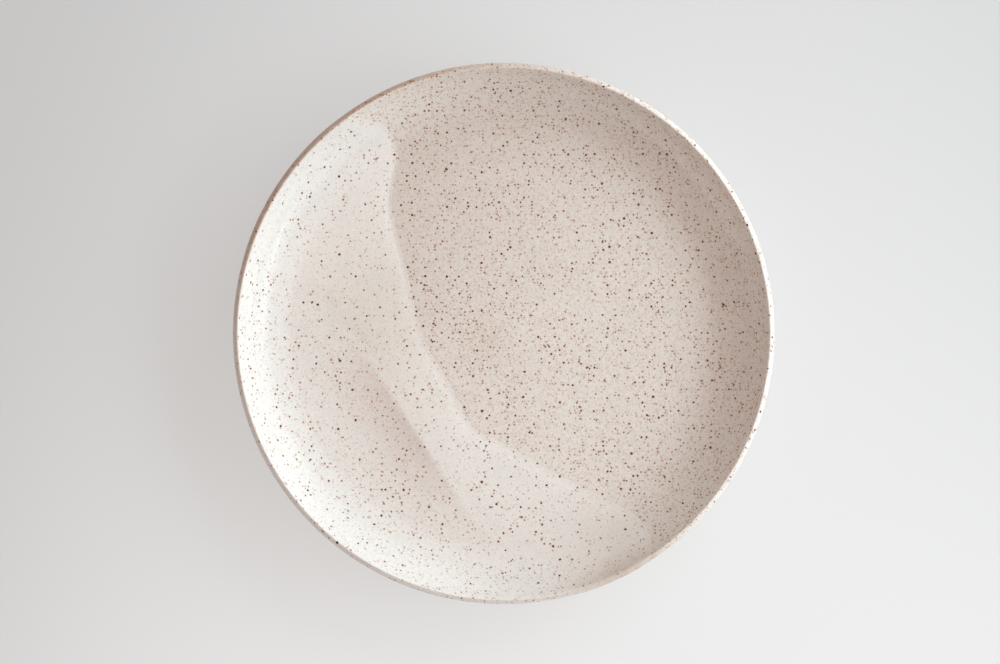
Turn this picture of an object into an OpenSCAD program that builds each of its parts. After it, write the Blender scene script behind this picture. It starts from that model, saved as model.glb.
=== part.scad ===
// Coupe dinner plate: a turned stoneware body, dipped twice in glaze from opposite sides.
// The plate lies flat. The origin is the middle of the foot ring, on the table. Millimetres, +Z up.

/* [Plate] */
// Diameter across the clay lip
plate_diameter = 270; // [220:1:320]
// Height from the table to the top of the clay lip
plate_height = 28; // [22:0.5:40]
// Thickness of the clay floor
floor_thickness = 5.5; // [4:0.1:9]
// Thickness of the clay lip, measured level
lip_thickness = 2.5; // [2:0.1:5]
// Radius of the lip's inner edge, which is its crest
lip_edge_radius = 0.4; // [0.3:0.1:1]
// Slope at which the lip falls away outwards from its inner edge, from level
lip_slope = 20; // [0:1:30]

/* [Wall] */
// Slope of the wall's face, from level
face_wall_angle = 68; // [55:1:76]
// Slope of the wall's outside, from level
outside_wall_angle = 72; // [60:1:80]
// Radius of the cove between the floor and the wall's face
cove_radius = 26; // [14:0.5:30]
// Radius of the shoulder between the underside and the wall's outside
shoulder_radius = 27; // [20:0.5:33]

/* [Foot ring] */
// How far the middle of the foot ring stands in from the lip
foot_inset = 50; // [40:1:80]
// Width of the foot ring between its flanks
foot_width = 6; // [4:0.1:10]
// Height of the foot ring below the underside
foot_height = 2.5; // [2.1:0.1:4]
// Radius of the eased edges that the plate stands on
foot_edge_radius = 0.8; // [0.4:0.1:1.2]
// Radius of the fillets between the foot ring and the underside
foot_root_radius = 1.2; // [0.6:0.1:1.6]

/* [Glaze] */
// Thickness of the first glaze coat
first_coat = 0.35; // [0.2:0.05:0.6]
// Thickness of the second glaze coat
second_coat = 0.45; // [0.2:0.05:0.8]
// Width of the bare clay left beside each root of the foot ring
bare_margin = 1.5; // [0.5:0.1:4]
// How far the second coat stays raised past the buried edge of the first
drape_run = 0.7; // [0.3:0.1:2]

/* [Hidden] */

// Colours of the bare clay and of the two coats
clay_colour = "#b89474";
first_colour = "#d9cbbf";
second_colour = "#e9e2da";

// Edges of the two dips across the plate, as shares of its radius, with +X to the right of the
// face and +Y up it. The first coat lies above and to the right of its edge, the second coat
// below and to the left of its own, and both edges run on past the lip.
first_edge_shares = [[-1.12, 0.37], [-0.97, 0.25], [-0.84, 0.17], [-0.72, 0.12], [-0.63, 0.04],
    [-0.53, -0.06], [-0.37, -0.30], [-0.21, -0.55], [-0.12, -0.68], [-0.03, -0.77], [0.10, -0.84],
    [0.23, -0.93], [0.34, -1.07]];
second_edge_shares = [[-0.80, 0.77], [-0.58, 0.79], [-0.50, 0.785], [-0.445, 0.76], [-0.41, 0.70],
    [-0.405, 0.64], [-0.43, 0.50], [-0.41, 0.38], [-0.365, 0.20], [-0.31, -0.02], [-0.21, -0.195],
    [-0.145, -0.33], [-0.105, -0.375], [-0.04, -0.405], [0.05, -0.45], [0.21, -0.545],
    [0.37, -0.625], [0.48, -0.685], [0.52, -0.725], [0.54, -0.77], [0.535, -0.83], [0.50, -1.02]];
// How far out the area of a dip closes, clear of the plate, as a share of its radius
far_share = 1.6;
// Steps along each stretch between two points of a dip's edge
edge_steps = 3;
// Largest turn between two points of a wide arc and of a narrow one, in degrees
wide_arc_step = 4;
narrow_arc_step = 12;
// Overrun of every cut past the face that it leaves
overrun = 0.2;

plate_radius = plate_diameter / 2;
far = far_share * plate_radius;
underside_z = foot_height;
floor_z = underside_z + floor_thickness;
foot_outer_radius = plate_radius - foot_inset + foot_width / 2;
foot_inner_radius = plate_radius - foot_inset - foot_width / 2;
glaze_line_radius = foot_outer_radius + foot_root_radius + bare_margin;
recess_glaze_radius = foot_inner_radius - foot_root_radius - bare_margin;
both_coats = first_coat + second_coat;

// The lip is a narrow arc at its inner edge, and a wide one that falls away from there to the
// wall's outside. The two touch where the lip has its slope.
lip_round_radius = (lip_thickness - lip_edge_radius * (sin(lip_slope) + sin(face_wall_angle)))
    / (1 - sin(lip_slope));
lip_arc_gap = lip_round_radius - lip_edge_radius;
lip_edge_centre = [plate_radius - lip_round_radius + lip_arc_gap * sin(lip_slope),
    plate_height - lip_edge_radius];
lip_round_centre = lip_edge_centre - lip_arc_gap * [sin(lip_slope), cos(lip_slope)];

// The section's other arcs. The wall's two sides are straight lines that touch the arcs of the lip
// and, lower down, the cove and the shoulder. Neither is larger than its wall can hold.
face_touch = lip_edge_centre - lip_edge_radius * across(face_wall_angle);
outside_touch = lip_round_centre + lip_round_radius * across(outside_wall_angle);
cove = min(cove_radius, largest_arc(face_touch, face_wall_angle, floor_z));
shoulder = min(shoulder_radius, largest_arc(outside_touch, outside_wall_angle, underside_z));
cove_centre = arc_centre(face_touch, face_wall_angle, cove, floor_z);
shoulder_centre = arc_centre(outside_touch, outside_wall_angle, shoulder, underside_z);

// Direction square to a wall of the given slope, out of the plate
function across(slope) = [sin(slope), -cos(slope)];

// Radius of the arc that reaches from a level line at base_z right up to the lip's arcs
function largest_arc(touch, slope, base_z) = (touch[1] - base_z) / (1 - cos(slope));

// Centre of an arc that touches a level line at base_z, and the wall below the lip's arcs
function arc_centre(touch, slope, radius, base_z) =
    let(run = (touch[1] + radius * cos(slope) - base_z - radius) / sin(slope))
    touch - run * [cos(slope), sin(slope)] - radius * across(slope);

// Points of an arc in the section, from one angle to another, both included
function arc(centre, radius, from, to, step) =
    let(count = ceil(abs(to - from) / step))
    [for (i = [0 : count])
        let(a = from + (to - from) * i / count)
        centre + radius * [cos(a), sin(a)]];

// A list of points without its first
function after_first(points) = [for (i = [1 : len(points) - 1]) points[i]];

// The section's outline from the middle of the face, over the lip, to the underside at end_radius,
// at the height lift above the clay
function outline(lift, end_radius) = concat(
    [[0, floor_z + lift]],
    arc(cove_centre, cove - lift, -90, face_wall_angle - 90, wide_arc_step),
    arc(lip_edge_centre, lip_edge_radius + lift, 90 + face_wall_angle, 90 - lip_slope, narrow_arc_step),
    after_first(arc(lip_round_centre, lip_round_radius + lift, 90 - lip_slope, outside_wall_angle - 90,
        narrow_arc_step)),
    arc(shoulder_centre, shoulder + lift, outside_wall_angle - 90, -90, wide_arc_step),
    [[end_radius, underside_z - lift]]);

// The foot ring's outline, from its outer root to its inner one
function foot_outline() =
    let(root_z = underside_z - foot_root_radius)
    concat(
        arc([foot_outer_radius + foot_root_radius, root_z], foot_root_radius, 90, 180, narrow_arc_step),
        arc([foot_outer_radius - foot_edge_radius, foot_edge_radius], foot_edge_radius, 0, -90,
            narrow_arc_step),
        arc([foot_inner_radius + foot_edge_radius, foot_edge_radius], foot_edge_radius, -90, -180,
            narrow_arc_step),
        arc([foot_inner_radius - foot_root_radius, root_z], foot_root_radius, 0, 90, narrow_arc_step));

function reversed(points) = [for (i = [len(points) - 1 : -1 : 0]) points[i]];

// Point of a smooth curve through the points of a list, at the share t between points i and i + 1
function curve_point(points, i, t) =
    let(
        last = len(points) - 1,
        a = points[max(i - 1, 0)],
        b = points[i],
        c = points[i + 1],
        d = points[min(i + 2, last)],
        leave = (c - a) / 2,
        reach = (d - b) / 2
    )
    b + leave * t + (3 * (c - b) - 2 * leave - reach) * t * t
        + (leave + reach - 2 * (c - b)) * t * t * t;

// The edge of a dip on the plate, as a smooth line
function dip_edge(shares) =
    let(points = shares * plate_radius, last = len(shares) - 1)
    concat(
        [for (i = [0 : last - 1], k = [0 : edge_steps - 1]) curve_point(points, i, k / edge_steps)],
        [points[last]]);

// The same line moved to its right by a distance, as it runs down the plate
function moved_edge(points, distance) =
    let(last = len(points) - 1)
    [for (i = [0 : last])
        let(along = points[min(i + 1, last)] - points[max(i - 1, 0)])
        points[i] + distance * [along[1], -along[0]] / norm(along)];

// Area of the first dip. A growth moves its edge out, towards the side that it leaves bare.
module first_dip(growth = 0) {
    polygon(concat(
        moved_edge(dip_edge(first_edge_shares), growth),
        [[far, -far], [far, far], [-far, far]]));
}

// Area of the second dip
module second_dip() {
    polygon(concat(
        dip_edge(second_edge_shares),
        [[far, -far], [-far, -far], [-far, far]]));
}

// A dip's area as a block that takes in the whole plate
module dip_block() {
    translate([0, 0, -far])
        linear_extrude(2 * far)
            children();
}

// A whole shell round face, lip and outside, between two heights above the clay
module shell(low, high, end_radius) {
    rotate_extrude($fn = 180)
        polygon(concat(outline(high, end_radius), reversed(outline(low, end_radius))));
}

// A flat sheet inside the foot ring, from one depth below the underside down to another
module recess_sheet(top, bottom, radius) {
    translate([0, 0, underside_z - bottom])
        linear_extrude(bottom - top)
            intersection() {
                circle(r = radius, $fn = 180);
                children();
            }
}

module stoneware_body() {
    color(clay_colour)
        rotate_extrude($fn = 180)
            polygon(concat(
                outline(0, foot_outer_radius + foot_root_radius),
                foot_outline(),
                [[0, underside_z]]));
}

module first_glaze_coat() {
    color(first_colour)
        intersection() {
            shell(0, first_coat, glaze_line_radius);
            dip_block() first_dip();
        }
}

// The second coat follows the clay, and climbs over the first coat's edge
module second_glaze_coat() {
    cut_end_radius = glaze_line_radius - overrun;
    color(second_colour)
        difference() {
            intersection() {
                shell(0, both_coats, glaze_line_radius);
                dip_block() second_dip();
            }
            difference() {
                shell(second_coat, both_coats + overrun, cut_end_radius);
                dip_block() first_dip(drape_run);
            }
            intersection() {
                shell(-overrun, first_coat, cut_end_radius);
                dip_block() first_dip();
            }
        }
}

module first_recess_glaze() {
    color(first_colour)
        recess_sheet(0, first_coat, recess_glaze_radius) first_dip();
}

// Inside the foot ring the second coat climbs over the first coat's edge too
module second_recess_glaze() {
    cut_radius = recess_glaze_radius + overrun;
    color(second_colour)
        difference() {
            recess_sheet(0, both_coats, recess_glaze_radius) second_dip();
            difference() {
                recess_sheet(second_coat, both_coats + overrun, cut_radius) second_dip();
                dip_block() first_dip(drape_run);
            }
            recess_sheet(-overrun, first_coat, cut_radius) first_dip();
        }
}

stoneware_body();
first_glaze_coat();
second_glaze_coat();
first_recess_glaze();
second_recess_glaze();
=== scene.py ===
"""Coupe dinner plate of speckled stoneware, dipped twice in glaze, on a pale floor."""

import math

import bmesh
import bpy
import numpy as np
from bpy.props import FloatProperty, FloatVectorProperty, IntProperty, PointerProperty
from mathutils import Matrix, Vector, noise


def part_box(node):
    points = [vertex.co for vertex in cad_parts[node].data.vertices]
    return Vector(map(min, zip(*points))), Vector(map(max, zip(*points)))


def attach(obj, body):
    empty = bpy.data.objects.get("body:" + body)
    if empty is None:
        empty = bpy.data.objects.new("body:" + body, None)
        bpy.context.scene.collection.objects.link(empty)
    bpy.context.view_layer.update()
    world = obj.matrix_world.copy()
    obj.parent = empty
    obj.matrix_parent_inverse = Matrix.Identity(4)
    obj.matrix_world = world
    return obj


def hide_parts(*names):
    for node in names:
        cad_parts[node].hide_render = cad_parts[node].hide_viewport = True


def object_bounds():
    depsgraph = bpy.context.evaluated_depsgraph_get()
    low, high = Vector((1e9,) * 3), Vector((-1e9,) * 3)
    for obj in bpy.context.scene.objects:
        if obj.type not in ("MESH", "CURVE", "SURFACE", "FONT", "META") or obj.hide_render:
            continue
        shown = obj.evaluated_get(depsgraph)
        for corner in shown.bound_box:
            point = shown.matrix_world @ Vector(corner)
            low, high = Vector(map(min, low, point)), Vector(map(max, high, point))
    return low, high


bl_info = {
    "name": "Coupe dinner plate",
    "version": (1, 0, 0),
    "blender": (4, 5, 0),
    "location": "3D View > Sidebar > Plate",
    "description": "Builds a speckled stoneware plate with two overlapping glaze dips",
    "category": "Object",
}

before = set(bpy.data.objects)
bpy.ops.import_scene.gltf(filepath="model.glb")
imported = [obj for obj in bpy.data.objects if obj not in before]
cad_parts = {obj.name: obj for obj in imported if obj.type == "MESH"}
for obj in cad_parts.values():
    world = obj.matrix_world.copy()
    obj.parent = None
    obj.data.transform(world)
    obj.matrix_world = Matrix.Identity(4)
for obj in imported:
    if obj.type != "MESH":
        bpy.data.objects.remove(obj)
cad_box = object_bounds()
clay_low, clay_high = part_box("stoneware_body")

MM = 0.001
# In pixels: the picture's width, the plate's width in it, and the camera's shift from the axis
PHOTO_WIDTH = 1000
PLATE_PIXELS = 542.9
CAMERA_SHIFT = (-3.7, 1.4)
# The camera's sensor, in millimetres as its lens is
SENSOR_WIDTH = 36.0

# Edges of the two dips across the plate, as shares of its radius, with +X to the right of the
# face and +Y up it. The first coat lies above and to the right of its edge, the second coat
# below and to the left of its own, and both edges run on past the lip.
FIRST_EDGE_SHARES = (
    (-1.12, 0.37), (-0.97, 0.25), (-0.84, 0.17), (-0.72, 0.12), (-0.63, 0.04),
    (-0.53, -0.06), (-0.37, -0.30), (-0.21, -0.55), (-0.12, -0.68), (-0.03, -0.77),
    (0.10, -0.84), (0.23, -0.93), (0.34, -1.07),
)
SECOND_EDGE_SHARES = (
    (-0.80, 0.77), (-0.58, 0.79), (-0.50, 0.785), (-0.445, 0.76), (-0.41, 0.70),
    (-0.405, 0.64), (-0.43, 0.50), (-0.41, 0.38), (-0.365, 0.20), (-0.31, -0.02),
    (-0.21, -0.195), (-0.145, -0.33), (-0.105, -0.375), (-0.04, -0.405), (0.05, -0.45),
    (0.21, -0.545), (0.37, -0.625), (0.48, -0.685), (0.52, -0.725), (0.54, -0.77),
    (0.535, -0.83), (0.50, -1.02),
)
# Corners far outside the plate that close the area of each dip
FIRST_FAR_SHARES = ((1.6, -1.6), (1.6, 1.6), (-1.6, 1.6))
SECOND_FAR_SHARES = ((1.6, -1.6), (-1.6, -1.6), (-1.6, 1.6))
EDGE_STEPS = 10
# The middle and the reach of the brown groove beside the first coat's buried edge
GROOVE_SHARE = (-0.37, -0.33)
GROOVE_REACH = 0.38
# Lean patches of the second coat over the first: how lean each is, its middle, and its reach
LEAN_PATCHES = ((1.0, (-0.48, 0.05), 0.30), (0.35, (0.46, -0.80), 0.22))
# Where the glaze has run thin at the lip: the way from +X in degrees, how sharply that place is
# bounded, how far it reaches down the face, and how thin the glaze is
LIP_BREAKS = ((135, 5.5, 0.6 * MM, 1.0), (297, 100, 20 * MM, 0.5))


def amount(name, description, default, **more):
    """A plain number."""
    return FloatProperty(name=name, description=description, default=default, **more)


def length(name, description, default):
    """A size in metres, typed in millimetres."""
    return amount(name, description, default * MM, precision=5, subtype="DISTANCE", unit="LENGTH")


def angle(name, description, default):
    """An angle, given here in degrees."""
    return amount(name, description, math.radians(default), subtype="ANGLE", unit="ROTATION")


def colour(name, description, default):
    """A colour in linear light."""
    return FloatVectorProperty(
        name=name, description=description, default=default,
        size=3, min=0, max=1, subtype="COLOR",
    )


class PlateSizes(bpy.types.PropertyGroup):
    """Sizes of the turned clay body."""

    plate_diameter: length("Diameter", "Across the clay lip", (clay_high[0] - clay_low[0]) / MM)
    plate_height: length("Height", "From the table to the top of the clay lip", clay_high[2] / MM)
    floor_thickness: length("Floor thickness", "Thickness of the clay floor", 5.5)
    lip_thickness: length("Lip thickness", "Thickness of the clay lip, measured level", 2.5)
    lip_edge_radius: length("Lip edge radius", "Inner edge of the lip, which is its crest", 0.4)
    lip_slope: angle("Lip slope", "How steeply the lip falls away outwards, from level", 20)
    face_wall_angle: angle("Face wall slope", "Slope of the wall's face, from level", 68)
    outside_wall_angle: angle("Outside wall slope", "Slope of the wall's outside, from level", 72)
    cove_radius: length("Cove radius", "Between the floor and the wall's face", 26)
    shoulder_radius: length("Shoulder radius", "Between the underside and the wall's outside", 27)
    foot_inset: length("Foot inset", "From the lip to the middle of the foot ring", 50)
    foot_width: length("Foot width", "Width of the foot ring between its flanks", 6)
    foot_height: length("Foot height", "Height of the foot ring below the underside", 2.5)
    foot_edge_radius: length("Foot edge radius", "Eased edges that the plate stands on", 0.8)
    foot_root_radius: length("Foot root radius", "Fillets between foot ring and underside", 1.2)
    segments: IntProperty(
        name="Segments", description="Steps round the plate", default=360, min=48, max=720,
    )


class GlazeLook(bpy.types.PropertyGroup):
    """Thickness and colour of the two glaze coats."""

    first_coat: length("First coat", "Thickness of the first glaze coat", 0.33)
    second_coat: length("Second coat", "Thickness of the second glaze coat", 0.40)
    bare_margin: length("Bare margin", "Bare clay beside each root of the foot ring", 1.5)
    roll_width: length("Glaze roll", "Width of the glaze's rolled edge by the foot ring", 0.9)
    edge_round: length("Edge round", "Width of the second coat's small rounded edge", 0.6)
    edge_run: length("Edge run", "Width over which the second coat builds up behind its edge", 7)
    creep: length("Creep", "How far the second coat melts out past its dip line", 1.2)
    drape_width: length("Drape", "Width over which the first coat thins to its buried edge", 9)
    first_colour: colour("First glaze", "First coat over the clay", (0.741, 0.680, 0.620))
    thin_colour: colour("Thin first glaze", "First coat lying thin", (0.636, 0.560, 0.506))
    second_colour: colour("Second glaze", "Second coat over the clay", (0.760, 0.713, 0.663))
    overlap_colour: colour("Overlap", "Second coat over the first", (0.770, 0.718, 0.669))
    lean_colour: colour("Lean", "Second coat lying lean over the first", (0.577, 0.490, 0.398))
    haze_colour: colour("Haze", "First coat over clay rich in iron", (0.620, 0.500, 0.430))
    groove_colour: colour("Groove", "Second coat beside the buried edge", (0.605, 0.508, 0.462))
    lip_colour: colour("Lip", "Glaze that breaks thin over the lip", (0.460, 0.335, 0.260))
    gloss_roughness: amount("Roughness", "Mean roughness of the glaze", 0.10, min=0, max=1)


class ClayLook(bpy.types.PropertyGroup):
    """Colours of the bare clay and of the iron grains in it."""

    clay_colour: colour("Clay", "Bare fired clay", (0.470, 0.320, 0.205))
    toasted_colour: colour("Toasted clay", "Darker patches of the clay", (0.345, 0.210, 0.125))
    bleed_colour: colour("Bleed", "Iron that has bled into the glaze", (0.550, 0.240, 0.120))
    rust_colour: colour("Rust", "Edge of an iron grain", (0.275, 0.104, 0.053))
    iron_colour: colour("Iron", "Middle of an iron grain", (0.036, 0.016, 0.011))


class StageLook(bpy.types.PropertyGroup):
    """Floor, light and camera."""

    floor_colour: colour("Floor", "Pale floor", (0.82, 0.813, 0.808))
    key_colour: colour("Key colour", "Cool soft light from the right", (0.77, 0.925, 1.0))
    key_strength: amount("Key light", "Radiance of the soft light from the right", 4.33)
    sheen_strength: amount("Sheen", "Radiance of the same light as it shows in the gloss", 0.6)
    strip_strength: amount("Strip light", "Radiance of a narrow strip in the gloss", 7.0)
    fill_colour: colour("Fill colour", "Warm surroundings", (1.0, 0.884, 0.838))
    fill_strength: amount("Fill light", "Radiance of the surroundings overhead", 0.67)
    bounce_strength: amount("Bounce light", "Radiance of the weak light from the left", 0.32)
    room_strength: amount("Room", "Radiance of the pale room as it shows in the gloss", 0.8)
    camera_distance: length("Camera distance", "From the lip's level to the camera", 1300)


class CoupePlate(bpy.types.PropertyGroup):
    """All settings of the plate and its stage."""

    sizes: PointerProperty(type=PlateSizes)
    glaze: PointerProperty(type=GlazeLook)
    clay: PointerProperty(type=ClayLook)
    stage: PointerProperty(type=StageLook)


# Node trees


class Socket:
    """An output in a node tree that works in Python sums. Each operator adds one Math node."""

    def __init__(self, nodes, link):
        self.nodes = nodes
        self.link = link

    def beside(self, name):
        """Another output of the same node."""
        return Socket(self.nodes, self.link.node.outputs[name])

    def maths(self, operation, *values, clamp=False):
        settings = {"operation": operation, "use_clamp": clamp}
        return self.nodes.add("ShaderNodeMath", settings, dict(enumerate(values)))

    def __add__(self, other):
        return self.maths("ADD", self, other)

    def __radd__(self, other):
        return self.maths("ADD", other, self)

    def __sub__(self, other):
        return self.maths("SUBTRACT", self, other)

    def __rsub__(self, other):
        return self.maths("SUBTRACT", other, self)

    def __mul__(self, other):
        return self.maths("MULTIPLY", self, other)

    def __rmul__(self, other):
        return self.maths("MULTIPLY", other, self)

    def __truediv__(self, other):
        return self.maths("DIVIDE", self, other)

    def __rtruediv__(self, other):
        return self.maths("DIVIDE", other, self)

    def __pow__(self, other):
        return self.maths("POWER", self, other)

    def __lt__(self, other):
        return self.maths("LESS_THAN", self, other)

    def largest(self, other):
        return self.maths("MAXIMUM", self, other)

    def clipped(self):
        return self.maths("ADD", self, 0.0, clamp=True)

    def sine(self):
        return self.maths("SINE", self)

    def cosine(self):
        return self.maths("COSINE", self)

    def rounded(self):
        return self.maths("ROUND", self)

    def smooth(self, low, high):
        """0 below low, 1 above high, and a soft step between them."""
        return self.nodes.add(
            "ShaderNodeMapRange", {"interpolation_type": "SMOOTHSTEP"},
            {"Value": self, "From Min": low, "From Max": high},
        )


class Nodes:
    """A node tree that is filled from Python."""

    def __init__(self, tree):
        self.tree = tree

    def add(self, kind, settings=None, sockets=None, out=0):
        """Adds a node, sets its settings, then its sockets' values or links. Returns an output."""
        node = self.tree.nodes.new(kind)
        for name, value in (settings or {}).items():
            if name == "items":
                while len(node.index_switch_items) < value:
                    node.index_switch_items.new()
            else:
                setattr(node, name, value)
        for key, value in (sockets or {}).items():
            if isinstance(value, Socket):
                self.tree.links.new(value.link, node.inputs[key])
            else:
                node.inputs[key].default_value = value
        return Socket(self, node.outputs[out]) if len(node.outputs) else None

    def coordinates(self):
        """The place on the piece, and an output whose node gives its X, Y and Z."""
        place = self.add("ShaderNodeTexCoord", {}, {}, out="Object")
        return place, self.add("ShaderNodeSeparateXYZ", {}, {"Vector": place})

    def vector(self, operation, *values, out=0):
        """A Vector Math node."""
        settings = {"operation": operation}
        return self.add("ShaderNodeVectorMath", settings, dict(enumerate(values)), out)

    def scaled(self, value, share):
        """A colour or a place times a share."""
        return self.add("ShaderNodeVectorMath", {"operation": "SCALE"}, {0: value, "Scale": share})

    def mix(self, factor, first, second):
        """A blend of two colours."""
        return self.add(
            "ShaderNodeMix", {"data_type": "RGBA"},
            {0: factor, 6: rgba(first), 7: rgba(second)}, out=2,
        )

    def noise(self, place, size, detail=2.0, roughness=0.5):
        """Soft noise with features of the given size, from 0 to 1."""
        return self.add(
            "ShaderNodeTexNoise", {},
            {"Vector": place, "Scale": 1 / size, "Detail": detail, "Roughness": roughness},
        )

    def attribute(self, name):
        """A value that the piece's mesh holds at each vertex."""
        settings = {"attribute_name": name, "attribute_type": "GEOMETRY"}
        return self.add("ShaderNodeAttribute", settings, out="Fac")


def rgba(value):
    """A colour with full alpha; a socket stays as it is."""
    return value if isinstance(value, Socket) else (*value, 1.0)


def span(x, y):
    """Length of a line from its reach along two axes."""
    return (x * x + y * y) ** 0.5


def new_material(name):
    """A material with an empty tree, and its nodes."""
    material = bpy.data.materials.new(name)
    material.use_nodes = True
    material.node_tree.nodes.clear()
    return material, Nodes(material.node_tree)


def finish_surface(nodes, base, roughness, height, depth, **constants):
    """Ends a tree in one Principled shader with a Bump on its Normal."""
    bump = nodes.add("ShaderNodeBump", {}, {"Strength": 1.0, "Distance": depth, "Height": height})
    sockets = {"Base Color": base, "Roughness": roughness, "Normal": bump}
    sockets.update({name.replace("_", " "): value for name, value in constants.items()})
    shader = nodes.add("ShaderNodeBsdfPrincipled", {}, sockets)
    nodes.add("ShaderNodeOutputMaterial", {}, {"Surface": shader})


# Materials

# Iron grains by size class: cell, smallest and largest radius, share of cells that hold one,
# width of the soft edge, the palest and the darkest tone, and the share that a second coat hides
GRAIN_CLASSES = (
    (3.6 * MM, 0.40 * MM, 0.70 * MM, 0.18, 0.22 * MM, 0.80, 1.00, 0.15),
    (2.2 * MM, 0.34 * MM, 0.58 * MM, 0.25, 0.22 * MM, 0.58, 1.00, 0.35),
    (1.5 * MM, 0.32 * MM, 0.54 * MM, 0.25, 0.26 * MM, 0.18, 0.58, 0.48),
    (1.0 * MM, 0.26 * MM, 0.40 * MM, 0.33, 0.24 * MM, 0.10, 0.32, 0.55),
    (0.8 * MM, 0.20 * MM, 0.32 * MM, 0.33, 0.24 * MM, 0.05, 0.18, 0.60),
)
GRAIN_WANDER = 0.36 * MM
GRAIN_WANDER_SIZE = 0.9 * MM
GRAIN_CLUSTER = 9 * MM
# The middle and the reach of a patch of the floor that is rich in fine iron
RICH_PLACE = (-10 * MM, -2 * MM, 8 * MM)
RICH_REACH = 26 * MM
# The way across the face in which the first coat thins out, in degrees from +X
THIN_WAY = 150
# Unevenness of the glaze: slow clouds, fine mottle, rings from turning, peel, and ragged lip breaks
GLAZE_CLOUD = 38 * MM
GLAZE_MOTTLE = 1.0 * MM
GLAZE_RINGS = 7 * MM
GLAZE_PEEL = 5 * MM
LIP_RAGGED = 3.5 * MM
# Radius of the low rise in the middle of the floor
FLOOR_RISE = 20 * MM
GLAZE_RELIEF = 0.02 * MM
GLAZE_IOR = 1.52
# Unevenness of the bare clay: sand, toasted patches, and the pitch of the turning tool
CLAY_SAND = 0.7 * MM
CLAY_TOAST = 16 * MM
TOOL_PITCH = 0.8 * MM
CLAY_RELIEF = 0.05 * MM
CLAY_IOR = 1.45


def wandering(nodes, place):
    """The place, pushed about by fine noise, so that grains come out ragged."""
    push = nodes.noise(place, GRAIN_WANDER_SIZE, detail=1.0).beside("Color")
    centred = nodes.vector("SUBTRACT", push, (0.5, 0.5, 0.5))
    return nodes.vector("ADD", place, nodes.scaled(centred, GRAIN_WANDER))


def iron_grains(nodes, place, cover, lip=0.0):
    """How strongly an iron grain shows at a place, where cover is how much glaze hides it."""
    ragged = wandering(nodes, place)
    away = nodes.vector("DISTANCE", place, RICH_PLACE, out="Value")
    patch = 1 - away.smooth(0.0, RICH_REACH)
    clusters = nodes.noise(place, GRAIN_CLUSTER, detail=3.0, roughness=0.6)
    plenty = 0.15 + clusters * 1.7 + patch * 0.45 + lip * 0.5
    strongest, bleed = None, None
    for cell, small, large, share, soft, palest, darkest, hidden in GRAIN_CLASSES:
        spread = nodes.add(
            "ShaderNodeTexVoronoi", {"voronoi_dimensions": "3D", "feature": "F1"},
            {"Vector": ragged, "Scale": 1 / cell, "Randomness": 1.0},
        )
        chance = nodes.add("ShaderNodeSeparateColor", {}, {"Color": spread.beside("Color")})
        held = chance.beside("Green") < plenty * (share * (1 - cover * hidden))
        inside = small + chance ** 1.6 * (large - small) - spread * cell
        tone = (palest + chance.beside("Blue") * (darkest - palest)) * held
        shown = (inside / soft + 0.5).clipped() * tone
        ring = (inside / (soft * 2) + 0.8).clipped() * (tone * 2).clipped()
        strongest = shown if strongest is None else strongest.largest(shown)
        bleed = ring if bleed is None else bleed.largest(ring)
    return strongest, bleed


def speckled(nodes, ground, grains, bleed, clay):
    """A ground colour with iron grains in it, each with a rusty bleed."""
    stained = nodes.mix(bleed * 0.5, ground, clay.bleed_colour)
    rusty = nodes.mix((grains * 2.2).clipped() * 0.88, stained, clay.rust_colour)
    return nodes.mix(((grains - 0.42) * 1.8).clipped() * 0.95, rusty, clay.iron_colour)


def first_coat_tone(nodes, across, rim, plate):
    """The first coat's colour, which thins out and reddens towards the upper left."""
    way = math.radians(THIN_WAY)
    plate_radius = plate.sizes.plate_diameter / 2
    reach = (across * math.cos(way) + across.beside("Y") * math.sin(way)) / plate_radius
    thinness = (reach + 0.5).clipped() ** 1.5 * (1 - rim.smooth(0.76, 0.94) * 0.85)
    coat = nodes.mix(thinness, plate.glaze.first_colour, plate.glaze.thin_colour)
    away = span(across - RICH_PLACE[0], across.beside("Y") - RICH_PLACE[1])
    haze = 1 - away.smooth(0.0, RICH_REACH * 0.7)
    return nodes.mix(haze * 0.3, coat, plate.glaze.haze_colour)


def second_coat_tone(nodes, across, rim, plate):
    """The second coat's colour: paler over the first coat, brown in the groove beside it, and
    darkened on the left wall by painted shade.
    """
    glaze = plate.glaze
    over_clay = nodes.mix(nodes.attribute("groove"), glaze.second_colour, glaze.groove_colour)
    over_coat = nodes.mix(nodes.attribute("lean") * 0.38, glaze.overlap_colour, glaze.lean_colour)
    layered = nodes.mix(nodes.attribute("over_first"), over_clay, over_coat)
    # Painted shade: the coat is made a little darker on the wall at the left, where the light falls
    # full on it
    to_right = (across / (plate.sizes.plate_diameter / 2)).smooth(-0.65, -0.1)
    painted_shade_left_wall = rim.smooth(0.80, 0.87) * (1 - to_right)
    run = nodes.scaled(layered, 1 - painted_shade_left_wall * 0.08)
    below = first_coat_tone(nodes, across, rim, plate)
    return nodes.mix(nodes.attribute("edge_thin"), run, below)


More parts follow.
